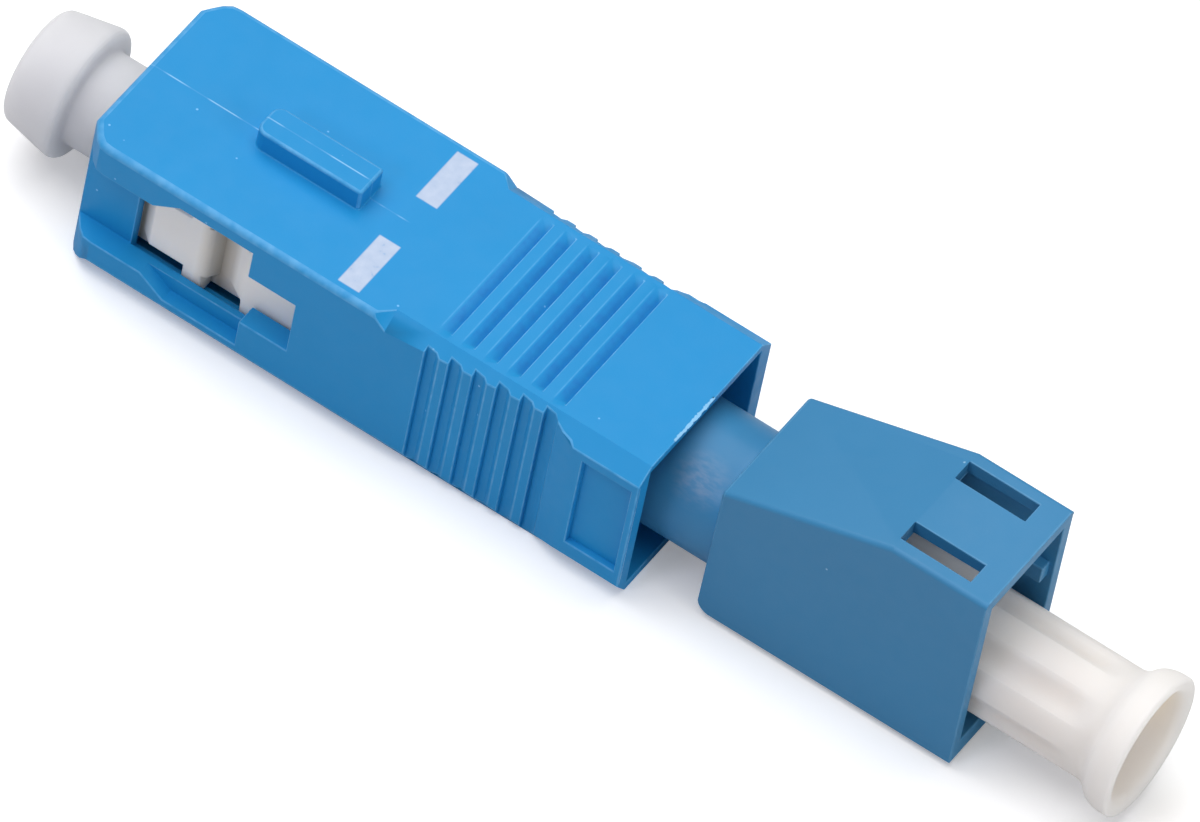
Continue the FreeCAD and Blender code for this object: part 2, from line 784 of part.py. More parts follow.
def ferrule_cap():
    """Soft moulded cap: a stem that covers the ferrule and a tapered head to pull it by."""
    body = new_body("sc_dust_cap")
    bore = "ferrule_diameter / 2 + bore_play"
    brim = "cap_head_length - cap_reach"
    section = sketch(body, "cap_section", "XY_Plane")
    outline(section, [
        ("-cap_reach", "0"),
        ("-cap_reach", "cap_crown_diameter / 2 - cap_crown_cut"),
        ("cap_crown_cut - cap_reach", "cap_crown_diameter / 2"),
        (f"{brim} - cap_brim_cut", "cap_head_diameter / 2"),
        (brim, "cap_head_diameter / 2 - cap_brim_cut"),
        (brim, "cap_stem_diameter / 2"),
        ("cap_stem_end", "cap_stem_diameter / 2"),
        ("cap_stem_end", bore),
        ("-cap_bore_front", bore),
        ("-cap_bore_front", "0"),
    ])
    turn(body, section)
    return body


def socket_plug():
    """Moulded plug: a fluted body in the bay and a flared, dished head to pull it by."""
    body = new_body("lc_dust_plug")
    body.Placement.Rotation = FreeCAD.Rotation(FreeCAD.Vector(1, 0, 0), measure("plug_turn"))
    body.setExpression("Placement.Rotation.Angle", tied("plug_turn"))
    front = "bay_floor + seat_gap + holder_flange_length + plug_front_gap"
    neck = "(plug_end - plug_head_length)"
    bore = f"({HOLDER_DIAMETER}) / 2 + holder_play"
    section = sketch(body, "plug_section", "XY_Plane")
    outline(section, [
        (front, bore),
        (front, "plug_diameter / 2 - plug_lead_cut"),
        (f"{front} + plug_lead_cut", "plug_diameter / 2"),
        (neck, "plug_diameter / 2"),
        (f"{neck} + plug_shoulder_length", "plug_shoulder_diameter / 2"),
        (f"{neck} + plug_flare_length", "plug_head_diameter / 2"),
        ("plug_end - plug_rim_cut", "plug_head_diameter / 2"),
        ("plug_end", "plug_head_diameter / 2 - plug_rim_cut"),
        ("plug_end", "plug_dish_diameter / 2"),
        ("plug_end - plug_dish_depth", "plug_dish_floor / 2"),
        ("plug_end - plug_dish_depth", "0"),
        (f"{front} + plug_bore_depth", "0"),
        (f"{front} + plug_bore_depth", bore),
    ])
    turn(body, section)

    flute = sketch(body, "plug_flute", "YZ_Plane", front)
    disc(flute, "flute_diameter", "0", "plug_diameter / 2 - flute_depth + flute_diameter / 2")
    cut = pocket(body, flute, f"{neck} - flute_run_out - ({front})", forward=True)
    before = volume_so_far(body)
    flutes = body.newObject("PartDesign::PolarPattern", "plug_flutes")
    flutes.Originals = [cut]
    flutes.Axis = (origin_part(body, "X_Axis"), [""])
    flutes.Angle = FULL_TURN
    flutes.Occurrences = FLUTES
    add_feature(body, flutes, before)
    return body


bodies = [
    outer_housing(),
    plug_frame(),
    plug_ferrule(),
    metal_body(),
    socket_ferrule(),
    fibre(),
    spring(),
    socket_housing(),
    split_sleeve(),
    sleeve_holder(),
    ferrule_cap(),
    socket_plug(),
]
doc.recompute()

failed = [item.Name for item in doc.Objects if "Invalid" in item.State or "Error" in item.State]
failed += [body.Label for body in bodies if body.Shape.isNull() or not body.Shape.isValid()]
failed += [body.Label for body in bodies if len(body.Shape.Solids) != 1]
if failed:
    raise RuntimeError(f"these did not build: {failed}")

os.makedirs("parts", exist_ok=True)
for body in bodies:
    body.Shape.exportStep(f"parts/{body.Label}.step")
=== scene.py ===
import math
import random

import bmesh
import bpy
from mathutils import Matrix, Vector


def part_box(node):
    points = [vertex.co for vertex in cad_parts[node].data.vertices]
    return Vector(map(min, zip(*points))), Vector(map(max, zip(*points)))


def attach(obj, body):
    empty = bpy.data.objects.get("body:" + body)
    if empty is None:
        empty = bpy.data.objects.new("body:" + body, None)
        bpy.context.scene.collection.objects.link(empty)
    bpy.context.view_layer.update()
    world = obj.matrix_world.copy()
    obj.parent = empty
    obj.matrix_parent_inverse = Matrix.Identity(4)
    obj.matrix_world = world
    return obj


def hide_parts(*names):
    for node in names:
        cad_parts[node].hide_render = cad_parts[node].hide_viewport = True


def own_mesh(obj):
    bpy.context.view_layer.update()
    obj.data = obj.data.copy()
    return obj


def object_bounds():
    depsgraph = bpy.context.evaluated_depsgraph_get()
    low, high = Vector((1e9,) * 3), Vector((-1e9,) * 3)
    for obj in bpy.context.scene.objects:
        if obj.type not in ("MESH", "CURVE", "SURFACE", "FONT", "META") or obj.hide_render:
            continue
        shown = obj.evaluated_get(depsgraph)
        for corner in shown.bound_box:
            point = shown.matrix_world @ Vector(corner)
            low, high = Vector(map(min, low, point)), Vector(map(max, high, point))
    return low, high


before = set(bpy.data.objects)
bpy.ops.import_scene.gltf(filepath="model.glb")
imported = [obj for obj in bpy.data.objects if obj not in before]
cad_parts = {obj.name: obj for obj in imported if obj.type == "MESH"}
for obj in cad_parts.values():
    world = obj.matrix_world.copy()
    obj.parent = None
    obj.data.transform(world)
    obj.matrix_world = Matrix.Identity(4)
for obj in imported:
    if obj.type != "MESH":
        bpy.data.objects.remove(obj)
cad_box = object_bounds()


# Plug frame: the white moulded core of the push-pull plug, seen through the shell's side windows.
# Its rails slide in the shell, and the boss behind the front ramp is what an adapter's hooks catch on.
# Sizes are millimetres from the shell's front face along the optical axis, and from that axis.
MM = 0.001
SHELL_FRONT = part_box("sc_outer_housing")[0].x
AXIS_HEIGHT = sum(corner.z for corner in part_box("sc_ferrule")) / 2
MERGE = 0.002 * MM
FLAT = math.radians(0.6)
SHARP = math.radians(35)
SMOOTH_UP_TO = math.radians(20)
SHORT_EDGE = 0.09 * MM
NARROW = 0.05 * MM
PALE_EDGE_MARK = "pale_edge_mark"
SATIN = 0.25
GRAIN_HEIGHT = 0.02 * MM
BOSS_ALONG = (4.6, 7.4)
BOSS_EDGE_LENGTH = 1.0
# Painted shade on the frame: how dark it gets, and where along the frame it starts, is full, fades and is gone.
FRAME_SHADE_STRENGTH = 0.7
RAMP_SHADE = (2.3, 2.4, 2.45, 3.1)
VALLEY_SHADE = (5.15, 5.95, 6.05, 6.85)


def place(along, across, up):
    return Vector((SHELL_FRONT + along * MM, across * MM, AXIS_HEIGHT + up * MM))


def spot_of(vert):
    """The vertex in millimetres along the axis, across it and up from it."""
    return (vert.co - place(0.0, 0.0, 0.0)) / MM


def paint(red, green, blue):
    """A colour as a painter's chart gives it, 0 to 255, made linear."""
    parts = [value / 255 for value in (red, green, blue)]
    return (*[((part + 0.055) / 1.055) ** 2.4 if part > 0.04 else part / 12.92 for part in parts], 1.0)


def moulded_copy(node):
    """The node's solid as a mesh with its flat faces joined."""
    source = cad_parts[node]
    bm = bmesh.new()
    bm.from_mesh(source.data)
    bm.transform(source.matrix_world)
    bmesh.ops.remove_doubles(bm, verts=bm.verts, dist=MERGE)
    bmesh.ops.dissolve_limit(bm, angle_limit=FLAT, verts=bm.verts, edges=bm.edges)
    bm.faces.layers.float.new(PALE_EDGE_MARK)
    return bm


def spans(edge):
    """How far the edge reaches along the axis, across it and up from it, each as a low and a high end."""
    return [(min(pair), max(pair)) for pair in zip(*map(spot_of, edge.verts))]


def rounded(bm, size, segments, chosen, inner=False, shortest=SHORT_EDGE):
    """Rounds the sharp outer (or inner) edges that the test picks by their spans, and marks them for the pale
    edge colour of wear and painted highlight.
    """
    turn = -1 if inner else 1
    edges = [edge for edge in bm.edges if edge.is_manifold and edge.calc_length() > shortest
             and turn * edge.calc_face_angle_signed() > SHARP and chosen(*spans(edge))]
    made = bmesh.ops.bevel(bm, geom=edges, offset=size * MM, offset_type="OFFSET", segments=segments,
                           profile=0.5, affect="EDGES", material=-1, clamp_overlap=False, loop_slide=True)
    pale_mark = bm.faces.layers.float[PALE_EDGE_MARK]
    for face in made["faces"]:
        if face.calc_area() < NARROW * face.calc_perimeter():
            face[pale_mark] = turn


def any_edge(along, across, up):
    return True


def finished(bm, name, body, nodes, material):
    """The mesh as a smooth-shaded piece within the solids' box, on its body and in place of its nodes."""
    for face in bm.faces:
        face.smooth = True
    for vert in bm.verts:
        vert.co = [min(max(value, low), high) for value, low, high in zip(vert.co, *cad_box)]
    mesh = bpy.data.meshes.new(name)
    bm.to_mesh(mesh)
    bm.free()
    mesh.set_sharp_from_angle(angle=SMOOTH_UP_TO)
    mesh.materials.append(material)
    piece = bpy.data.objects.new(name, mesh)
    bpy.context.collection.objects.link(piece)
    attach(piece, body)
    if nodes:
        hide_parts(*nodes)
    return piece


def even_normals(piece):
    """Lets the large flat faces set the shading, so that only the rounded edges turn the light."""
    modifier = piece.modifiers.new("even_normals", "WEIGHTED_NORMAL")
    modifier.keep_sharp = True
    modifier.thresh = 0.0


def new_material(name):
    """An empty material with its node tree and its shader."""
    material = bpy.data.materials.new(name)
    material.use_nodes = True
    return material, material.node_tree, material.node_tree.nodes["Principled BSDF"]


def node_group(name, inputs, outputs):
    """An empty shader group, with the sockets that bring its inputs and those that take its outputs."""
    group = bpy.data.node_groups.new(name, "ShaderNodeTree")
    for way, sockets in (("INPUT", inputs), ("OUTPUT", outputs)):
        for socket, kind in sockets.items():
            group.interface.new_socket(socket, in_out=way, socket_type="NodeSocket" + kind)
    return group, group.nodes.new("NodeGroupInput").outputs, group.nodes.new("NodeGroupOutput").inputs


def shader(tree, kind, inputs, **settings):
    """One shader node with its settings, and each input set or linked."""
    made = tree.nodes.new("ShaderNode" + kind)
    for name, value in settings.items():
        setattr(made, name, value)
    for socket, value in inputs.items():
        if isinstance(value, bpy.types.NodeSocket):
            tree.links.new(value, made.inputs[socket])
        else:
            made.inputs[socket].default_value = value
    return made


def object_space(tree):
    return tree.nodes.new("ShaderNodeTexCoord").outputs["Object"]


def noise(tree, where, scale, detail=2.0):
    return shader(tree, "TexNoise", {"Vector": where, "Scale": scale, "Detail": detail}).outputs[0]


def reckoned(tree, operation, *values):
    return shader(tree, "Math", dict(enumerate(values)), operation=operation).outputs[0]


def mixed(tree, factor, first, second):
    return shader(tree, "Mix", {0: factor, 6: first, 7: second}, data_type="RGBA").outputs[2]


def shares(tree, value, low, high, to_low=0.0, to_high=1.0):
    """The value mapped from one range to another and held within it."""
    return shader(tree, "MapRange", {"Value": value, "From Min": low, "From Max": high,
                                     "To Min": to_low, "To Max": to_high}).outputs["Result"]


def moulded_skin_group():
    """Skin of a moulded plastic: soft clouds of colour, a fine grain from the mould and pale specks of dust."""
    group, given, result = node_group(
        "moulded_skin",
        {"Colour": "Color", "Pale": "Color", "Cloud": "Float", "Specks": "Float", "Gloss": "Float"},
        {"Colour": "Color", "Roughness": "Float", "Height": "Float"})
    where = object_space(group)
    clouds = noise(group, where, scale=190.0, detail=3.0)
    grain = noise(group, where, scale=7000.0)
    streaks = noise(group, where, scale=1300.0)
    cells = shader(group, "TexVoronoi", {"Vector": where, "Scale": 900.0})
    near = shares(group, cells.outputs["Distance"], 0.055, 0.03)
    rare = shader(group, "SeparateColor", {"Color": cells.outputs["Color"]}).outputs[0]
    shown = reckoned(group, "GREATER_THAN", rare, reckoned(group, "SUBTRACT", 1.0, given["Specks"]))
    speck = reckoned(group, "MULTIPLY", near, shown)
    drift = shares(group, clouds, 0.3, 0.7, -1.0, 1.0)
    swing = reckoned(group, "MULTIPLY_ADD", drift, given["Cloud"], 1.0)
    clouded = shader(group, "HueSaturation", {"Value": swing, "Color": given["Colour"]}).outputs[0]
    group.links.new(mixed(group, speck, clouded, given["Pale"]), result["Colour"])
    dull = reckoned(group, "ADD", shares(group, streaks, 0.3, 0.7, -0.05, 0.07), given["Gloss"])
    group.links.new(dull, result["Roughness"])
    group.links.new(reckoned(group, "MULTIPLY_ADD", speck, 1.5, grain), result["Height"])
    return group


MOULDED_SKIN = moulded_skin_group()


def plastic(name, colour, pale, cloud, specks, gloss, relief=0.12):
    """A moulded plastic with the shared skin; returns the material, its shader and the skin's outputs."""
    material, tree, surface = new_material(name)
    surface.inputs["Specular IOR Level"].default_value = SATIN
    skin = shader(tree, "Group", {"Colour": colour, "Pale": pale, "Cloud": cloud, "Specks": specks,
                                  "Gloss": gloss}, node_tree=MOULDED_SKIN).outputs
    bump = shader(tree, "Bump", {"Strength": relief, "Distance": GRAIN_HEIGHT, "Height": skin["Height"]})
    tree.links.new(skin["Colour"], surface.inputs["Base Color"])
    tree.links.new(skin["Roughness"], surface.inputs["Roughness"])
    tree.links.new(bump.outputs["Normal"], surface.inputs["Normal"])
    return material, surface, skin


def let_light_in(surface, weight, depth, tint):
    """Light sinks into the plastic and comes out softened: how much, how deep in millimetres, its tint."""
    surface.inputs["Subsurface Weight"].default_value = weight
    surface.inputs["Subsurface Radius"].default_value = tint
    surface.inputs["Subsurface Scale"].default_value = depth * MM


frame_white, frame_surface, frame_skin = plastic("frame_white", paint(254, 250, 243), paint(254, 253, 250),
                                                 cloud=0.02, specks=0.02, gloss=0.42)
let_light_in(frame_surface, weight=0.6, depth=0.5, tint=(1.0, 0.9, 0.8))
frame_tree = frame_white.node_tree
frame_xyz = shader(frame_tree, "SeparateXYZ", {"Vector": object_space(frame_tree)}).outputs
frame_along = reckoned(frame_tree, "SUBTRACT", frame_xyz[0], SHELL_FRONT)


def painted_frame_shade(starts, full, fades, gone):
    """Painted shade on one stretch of the frame, by the places along it where it starts, is full, fades and is
    gone.
    """
    settled = shares(frame_tree, frame_along, starts * MM, full * MM, 0.0, FRAME_SHADE_STRENGTH)
    return shares(frame_tree, frame_along, fades * MM, gone * MM, settled, 0.0)


def on_boss(along, across, up):
    return BOSS_ALONG[0] < along[0] and along[1] < BOSS_ALONG[1] and up[1] - up[0] > BOSS_EDGE_LENGTH


# Painted shade: warm brown where the frame's front ramp and the valley behind its boss lie in shadow inside the
# window.
frame_shade = reckoned(frame_tree, "ADD", painted_frame_shade(*RAMP_SHADE), painted_frame_shade(*VALLEY_SHADE))
frame_tree.links.new(mixed(frame_tree, frame_shade, frame_skin["Colour"], paint(126, 114, 90)),
                     frame_surface.inputs["Base Color"])
plug_frame = moulded_copy("sc_plug_frame")
rounded(plug_frame, 0.2, 5, on_boss)
rounded(plug_frame, 0.06, 2, any_edge)
even_normals(finished(plug_frame, "plug_frame", "core", ["sc_plug_frame"], frame_white))


# Ferrules: two ground zirconia cylinders with a cut edge at the polished tip, glued into a turned metal body.
# The split sleeve, also zirconia, is slit along its top so that it springs open round the smaller ferrule.
# They sit deep in the adapter and show only when the cap or the plug is pulled.
TURN_STEPS = 72
RING_SEGMENTS = 5
FIBRE_HOLE = 0.083
FERRULE_RADIUS = 1.25
FERRULE_REAR = 10.2
STUB_RADIUS = 0.625
STUB_FRONT = 20.81
STUB_REAR = 29.61


def on_ring(vert, along, radius):
    offset = vert.co - place(along, 0.0, 0.0)
    return abs(offset.x) < MERGE and abs(math.hypot(offset.y, offset.z) - radius * MM) < MERGE


def turned(profile, closed, steps=TURN_STEPS):
    """A round piece: a half section of (along, radius, rounding), spun about the optical axis and rounded."""
    bm = bmesh.new()
    verts = [bm.verts.new(place(along, 0.0, radius)) for along, radius, _ in profile]
    ends = verts[1:] + verts[:1] if closed else verts[1:]
    edges = [bm.edges.new(pair) for pair in zip(verts, ends)]
    bmesh.ops.spin(bm, geom=verts + edges, cent=place(0.0, 0.0, 0.0), axis=(1.0, 0.0, 0.0),
                   angle=math.tau, steps=steps, use_merge=True)
    bmesh.ops.remove_doubles(bm, verts=bm.verts, dist=MERGE)
    bmesh.ops.recalc_face_normals(bm, faces=bm.faces)
    for along, radius, rounding in profile:
        if rounding:
            ring = [edge for edge in bm.edges if all(on_ring(vert, along, radius) for vert in edge.verts)]
            bmesh.ops.bevel(bm, geom=ring, offset=rounding * MM, offset_type="OFFSET", segments=RING_SEGMENTS,
                            profile=0.5, affect="EDGES", material=-1, clamp_overlap=True)
    return bm


zirconia, zirconia_surface, _ = plastic("zirconia", paint(242, 239, 232), paint(252, 252, 250),
                                        cloud=0.015, specks=0.0, gloss=0.14, relief=0.03)
zirconia_surface.inputs["Coat Weight"].default_value = 0.4
plug_ferrule = turned([(-0.4, FIBRE_HOLE, 0.0), (-0.4, 0.9, 0.05), (-0.05, FERRULE_RADIUS, 0.08),
                       (FERRULE_REAR, FERRULE_RADIUS, 0.05), (FERRULE_REAR, FIBRE_HOLE, 0.0)], closed=True)
finished(plug_ferrule, "plug_ferrule", "ferrule", ["sc_ferrule"], zirconia)
socket_ferrule = turned([(STUB_FRONT, FIBRE_HOLE, 0.0), (STUB_FRONT, STUB_RADIUS, 0.03),
                         (STUB_REAR - 0.2, STUB_RADIUS, 0.05), (STUB_REAR, STUB_RADIUS - 0.2, 0.04),
                         (STUB_REAR, FIBRE_HOLE, 0.0)], closed=True)
finished(socket_ferrule, "socket_ferrule", "ferrule", ["lc_ferrule_stub"], zirconia)
sleeve = moulded_copy("split_sleeve")
rounded(sleeve, 0.03, 2, any_edge)
even_normals(finished(sleeve, "alignment_sleeve", "core", ["split_sleeve"], zirconia))


# Metal body and spring: a nickel plated flange and tube turned from bar, which hold both ferrules in line,
# and a coil of drawn steel wire behind the flange that pushes them forward.
# Both are closed in by the frame and the neck.
SPRING_WIRE = 0.2
SPRING_RADIUS = 1.875
SPRING_TURNS = 4
SPRING_FRONT = 9.5
SPRING_REAR = 13.25
STEPS_PER_TURN = 40


def metal(name, colour, gloss, lathe_scale):
    """A bright metal with fine tool marks round it."""
    material, tree, surface = new_material(name)
    surface.inputs["Metallic"].default_value = 1.0
    stretched = shader(tree, "Mapping", {"Vector": object_space(tree), "Scale": (lathe_scale, 40.0, 40.0)})
    marks = noise(tree, stretched.outputs[0], scale=1.0, detail=4.0)
    dark = tuple(value * 0.82 for value in colour[:3]) + (1.0,)
    tree.links.new(mixed(tree, marks, dark, colour), surface.inputs["Base Color"])
    tree.links.new(shares(tree, marks, 0.3, 0.7, gloss - 0.08, gloss + 0.08), surface.inputs["Roughness"])
    bump = shader(tree, "Bump", {"Strength": 0.1, "Distance": 0.01 * MM, "Height": marks})
    tree.links.new(bump.outputs["Normal"], surface.inputs["Normal"])
    return material


nickel = metal("nickel_plate", paint(214, 211, 204), gloss=0.26, lathe_scale=9000.0)
metal_body = turned([(7.65, 1.26, 0.0), (7.65, 2.2, 0.12), (9.25, 2.2, 0.12), (9.25, 1.6, 0.0),
                     (11.2, 1.6, 0.1), (11.2, 1.2, 0.0), (24.6, 1.2, 0.1), (24.6, 0.635, 0.0),
                     (20.8, 0.635, 0.0), (20.8, 0.45, 0.0), (10.21, 0.45, 0.0), (10.21, 1.26, 0.0)],
                    closed=True)
finished(metal_body, "ferrule_body_turned", "ferrule", ["ferrule_body"], nickel)

spring_steel = metal("spring_steel", paint(176, 178, 182), gloss=0.3, lathe_scale=3000.0)
coil = bmesh.new()
wire = bmesh.ops.create_circle(coil, cap_ends=True, segments=12, radius=SPRING_WIRE * MM)
wire_start = Matrix.Translation(place(SPRING_FRONT, 0.0, SPRING_RADIUS))
bmesh.ops.transform(coil, verts=wire["verts"], matrix=wire_start @ Matrix.Rotation(math.pi / 2, 4, "X"))
coil_steps = STEPS_PER_TURN * SPRING_TURNS
rise = (SPRING_REAR - SPRING_FRONT) * MM / coil_steps
bmesh.ops.spin(coil, geom=coil.verts[:] + coil.edges[:] + coil.faces[:], cent=place(0.0, 0.0, 0.0),
               axis=(1.0, 0.0, 0.0), dvec=(rise, 0.0, 0.0), angle=math.tau * SPRING_TURNS, steps=coil_steps,
               use_merge=False)
bmesh.ops.remove_doubles(coil, verts=coil.verts, dist=MERGE)
bmesh.ops.recalc_face_normals(coil, faces=coil.faces)
coil_piece = finished(coil, "coil_spring", "core", ["ferrule_spring"], spring_steel)
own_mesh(coil_piece)


# Fibre: bare drawn glass, 0.125 mm thick, glued through both ferrules and polished flush at each tip.
# It stays a plain solid, with a clear glass that shows fine drawing streaks.
fibre_glass, fibre_tree, fibre_surface = new_material("fibre_glass")
fibre_surface.inputs["Transmission Weight"].default_value = 0.85
fibre_surface.inputs["IOR"].default_value = 1.46
fibre_streaks = noise(fibre_tree, object_space(fibre_tree), scale=900.0)
fibre_tree.links.new(mixed(fibre_tree, fibre_streaks, paint(228, 236, 240), paint(246, 250, 252)),
                     fibre_surface.inputs["Base Color"])
fibre_tree.links.new(shares(fibre_tree, fibre_streaks, 0.3, 0.7, 0.04, 0.1), fibre_surface.inputs["Roughness"])
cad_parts["glass_fibre"].data.materials.clear()
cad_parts["glass_fibre"].data.materials.append(fibre_glass)


# Sleeve holder: a small natural-white moulded bush in the floor of the socket's bay.
# A lip at each end keeps the split sleeve in, and the flange stops it against the floor.
holder_white, _, _ = plastic("holder_white", paint(231, 229, 222), paint(250, 250, 246),
                             cloud=0.02, specks=0.02, gloss=0.4)
holder = turned([(25.9, 0.7, 0.0), (25.9, 1.45, 0.1), (29.85, 1.45, 0.0), (29.85, 2.1, 0.08),
                 (30.55, 2.1, 0.12), (30.55, 1.45, 0.0), (33.5, 1.45, 0.15), (33.5, 0.7, 0.12),
                 (33.1, 0.7, 0.0), (33.1, 0.885, 0.0), (26.3, 0.885, 0.0), (26.3, 0.7, 0.0)], closed=True)
finished(holder, "sleeve_bush", "core", ["sleeve_holder"], holder_white)


# Push-pull shell: the blue satin moulding that slides on the frame, with key, grip ribs and side windows.
# Two white bars are printed on its top, the mould's parting line runs along the middle in front of them,
# and a little torn flash is left where it was trimmed at the rear.
CLOSE = 0.01
ARC_EDGE = 0.02 * MM
SHELL_TOP = 3.7
SHELL_END = 25.4
SHELL_SIDE = 4.5
KEY_FRONT = 5.2
KEY_REAR = 10.05
KEY_SIDE = 0.8
KEY_RIM_ABOVE = 4.6
NOSE_END = 1.2
NOSE_NORMAL = (-0.659, 0.753)
NOSE_SWELL = 0.15
NOSE_CUTS = (0.3, 0.6, 0.9)
CORNER_REACH = 0.24
RAMP_FRONT = 13.15
GRIP_FRONT = 13.85
GRIP_EDGES_FROM = 14.0
WINDOW_ABOVE = -2.9
GRIP_EDGES_ABOVE = -3.6
GRIP_EDGE_LENGTH = 4.0
WAIST_SLOPE = 0.0604
CUT_CORNER_SLOPE = 0.8
GROOVE_DEPTH = 0.28
GROOVE_FILL = 0.06
GROOVE_TOP_ABOVE = 3.0
HEEL = (0.1, 0.06)
BAR_ALONG = (11.34, 12.29)
BAR_ACROSS = (1.21, 4.02)
INK_BLUR = 0.03 * MM
PARTING_FADE = (11.34, 11.94)
RIB_FIRST = 15.6
RIB_PITCH = 1.03
RIB_WIDTH = 0.5
RIBS = 6
RIB_END = 3.45
RIB_DEPTH = 0.2
RIB_SUNK = 0.3
RIB_RUN_OUT = 0.5
RIB_HIGHLIGHT_LEAD = 0.1
FLASH_STEP = 0.07


def station(along):
    return place(along, 0.0, 0.0).x


def between(tree, value, low, high, blur):
    """A soft mask: one inside the two limits, nought outside."""
    inside = shares(tree, value, low - blur, low + blur)
    beyond = shares(tree, value, high - blur, high + blur, 1.0, 0.0)
    return reckoned(tree, "MULTIPLY", inside, beyond)


def times(tree, *values):
    result = values[0]
    for value in values[1:]:
        result = reckoned(tree, "MULTIPLY", result, value)
    return result


def pale_edges_worn_and_lit_group():
    """Pale patches on the rounded outer edges: partly wear from handling, partly painted highlight where the
    rounds catch the light.
    """
    group, given, result = node_group(
        "pale_edges_worn_and_lit",
        {"Colour": "Color", "Worn_and_lit": "Color", "Least": "Float", "Most": "Float"},
        {"Colour": "Color"})
    patches = noise(group, object_space(group), scale=2200.0)
    marked = shader(group, "Attribute", {}, attribute_name=PALE_EDGE_MARK).outputs["Fac"]
    worn_and_lit = times(group, shares(group, marked, 0.0, 1.0),
                 shares(group, patches, 0.3, 0.7, given["Least"], given["Most"]))
    group.links.new(mixed(group, worn_and_lit, given["Colour"], given["Worn_and_lit"]), result["Colour"])
    return group


PALE_EDGES_WORN_AND_LIT = pale_edges_worn_and_lit_group()


shell_blue, shell_surface, shell_skin = plastic("shell_blue", paint(30, 144, 207), paint(120, 190, 240),
                                                cloud=0.02, specks=0.5, gloss=0.42)
shell_tree = shell_blue.node_tree
shell_where = object_space(shell_tree)
shell_xyz = shader(shell_tree, "SeparateXYZ", {"Vector": shell_where}).outputs
aside = reckoned(shell_tree, "ABSOLUTE", shell_xyz[1])
patchy = noise(shell_tree, shell_where, scale=2600.0, detail=3.0)
broken = noise(shell_tree, shell_where, scale=900.0, detail=1.0)
top_z = place(0.0, 0.0, SHELL_TOP).z
on_top = between(shell_tree, shell_xyz[2], top_z - 0.08 * MM, top_z + 0.08 * MM, 0.02 * MM)
bars = times(shell_tree, between(shell_tree, shell_xyz[0], *map(station, BAR_ALONG), INK_BLUR),
             between(shell_tree, aside, BAR_ACROSS[0] * MM, BAR_ACROSS[1] * MM, INK_BLUR), on_top,
             shares(shell_tree, patchy, 0.26, 0.36, 0.6, 1.0))
ink = mixed(shell_tree, patchy, paint(166, 186, 214), paint(198, 210, 230))
line = times(shell_tree, shares(shell_tree, aside, 0.015 * MM, 0.04 * MM, 1.0, 0.0),
             shares(shell_tree, shell_xyz[0], *map(station, PARTING_FADE), 1.0, 0.0),
             shares(shell_tree, broken, 0.42, 0.58, 0.1, 0.75),
             shares(shell_tree, shell_xyz[2], top_z - 0.1 * MM, top_z - 0.05 * MM))
# Painted highlight: a pale line along the front edge of each rib groove on the top, where the edge catches the
# light.
rib_count = shares(shell_tree, shell_xyz[0], station(RIB_FIRST - RIB_HIGHLIGHT_LEAD),
                   station(RIB_FIRST - RIB_HIGHLIGHT_LEAD + RIBS * RIB_PITCH), 0.0, RIBS)
rib_step = reckoned(shell_tree, "FRACT", rib_count)
rib_edge_highlight = times(shell_tree, between(shell_tree, rib_step, 0.05, 0.08, 0.03), on_top,
               shares(shell_tree, aside, (RIB_END - 0.3) * MM, RIB_END * MM, 1.0, 0.0),
               shares(shell_tree, patchy, 0.3, 0.6, 0.35, 0.75))
# Painted shade: the sunk slopes of the top ribs are coloured a darker blue, as they lie in shade.
rib_slope_shade = times(shell_tree,
                  between(shell_tree, shell_xyz[2], top_z - 0.5 * MM, top_z - 0.03 * MM, 0.02 * MM),
                  between(shell_tree, shell_xyz[0], station(RIB_FIRST),
                          station(RIB_FIRST + RIBS * RIB_PITCH), 0.05 * MM),
                  shares(shell_tree, aside, (RIB_END - 0.6) * MM, RIB_END * MM, 1.0, 0.0),
                  shares(shell_tree, patchy, 0.3, 0.7, 0.2, 0.5))
rib_shaded = mixed(shell_tree, rib_slope_shade, shell_skin["Colour"], paint(30, 104, 186))
ribbed = mixed(shell_tree, rib_edge_highlight, rib_shaded, paint(96, 176, 232))
lined = mixed(shell_tree, line, ribbed, paint(150, 206, 244))
# Pale rounded edges on the shell: partly wear, partly painted highlight.
edged = shader(shell_tree, "Group", {"Colour": lined, "Worn_and_lit": paint(120, 188, 234), "Least": 0.15,
                                     "Most": 0.5}, node_tree=PALE_EDGES_WORN_AND_LIT).outputs["Colour"]
shell_tree.links.new(mixed(shell_tree, bars, edged, ink), shell_surface.inputs["Base Color"])


def on_roof(face):
    return face.normal.z > 0.999 and abs(face.verts[0].co.z - top_z) < CLOSE * MM


def on_cut_corner(face):
    return abs(face.normal.x) < 0.01 and 0.6 < abs(face.normal.y) < 0.66 and face.normal.z > 0.0


def on_nose_corner(face):
    return abs(abs(face.normal.y) - NOSE_NORMAL[1]) < 0.02 and abs(face.normal.z) < 0.02 and face.normal.x < -0.5


def cut_across(faces, row):
    """Cuts the faces of the shell straight across at one place along it."""
    parts = dict.fromkeys(part for face in faces for part in (*face.verts, *face.edges, face))
    return bmesh.ops.bisect_plane(shell_bm, geom=list(parts), dist=MERGE, plane_co=place(row, 0.0, 0.0),
                                  plane_no=(1.0, 0.0, 0.0))


def slanting(along, across, up):
    """True for an edge across the flat roof, away from the key, that isn't one of the straight cuts."""
    return along[1] - along[0] > CLOSE and (along[1] < KEY_FRONT - 0.99 or along[0] > KEY_REAR + 0.99)


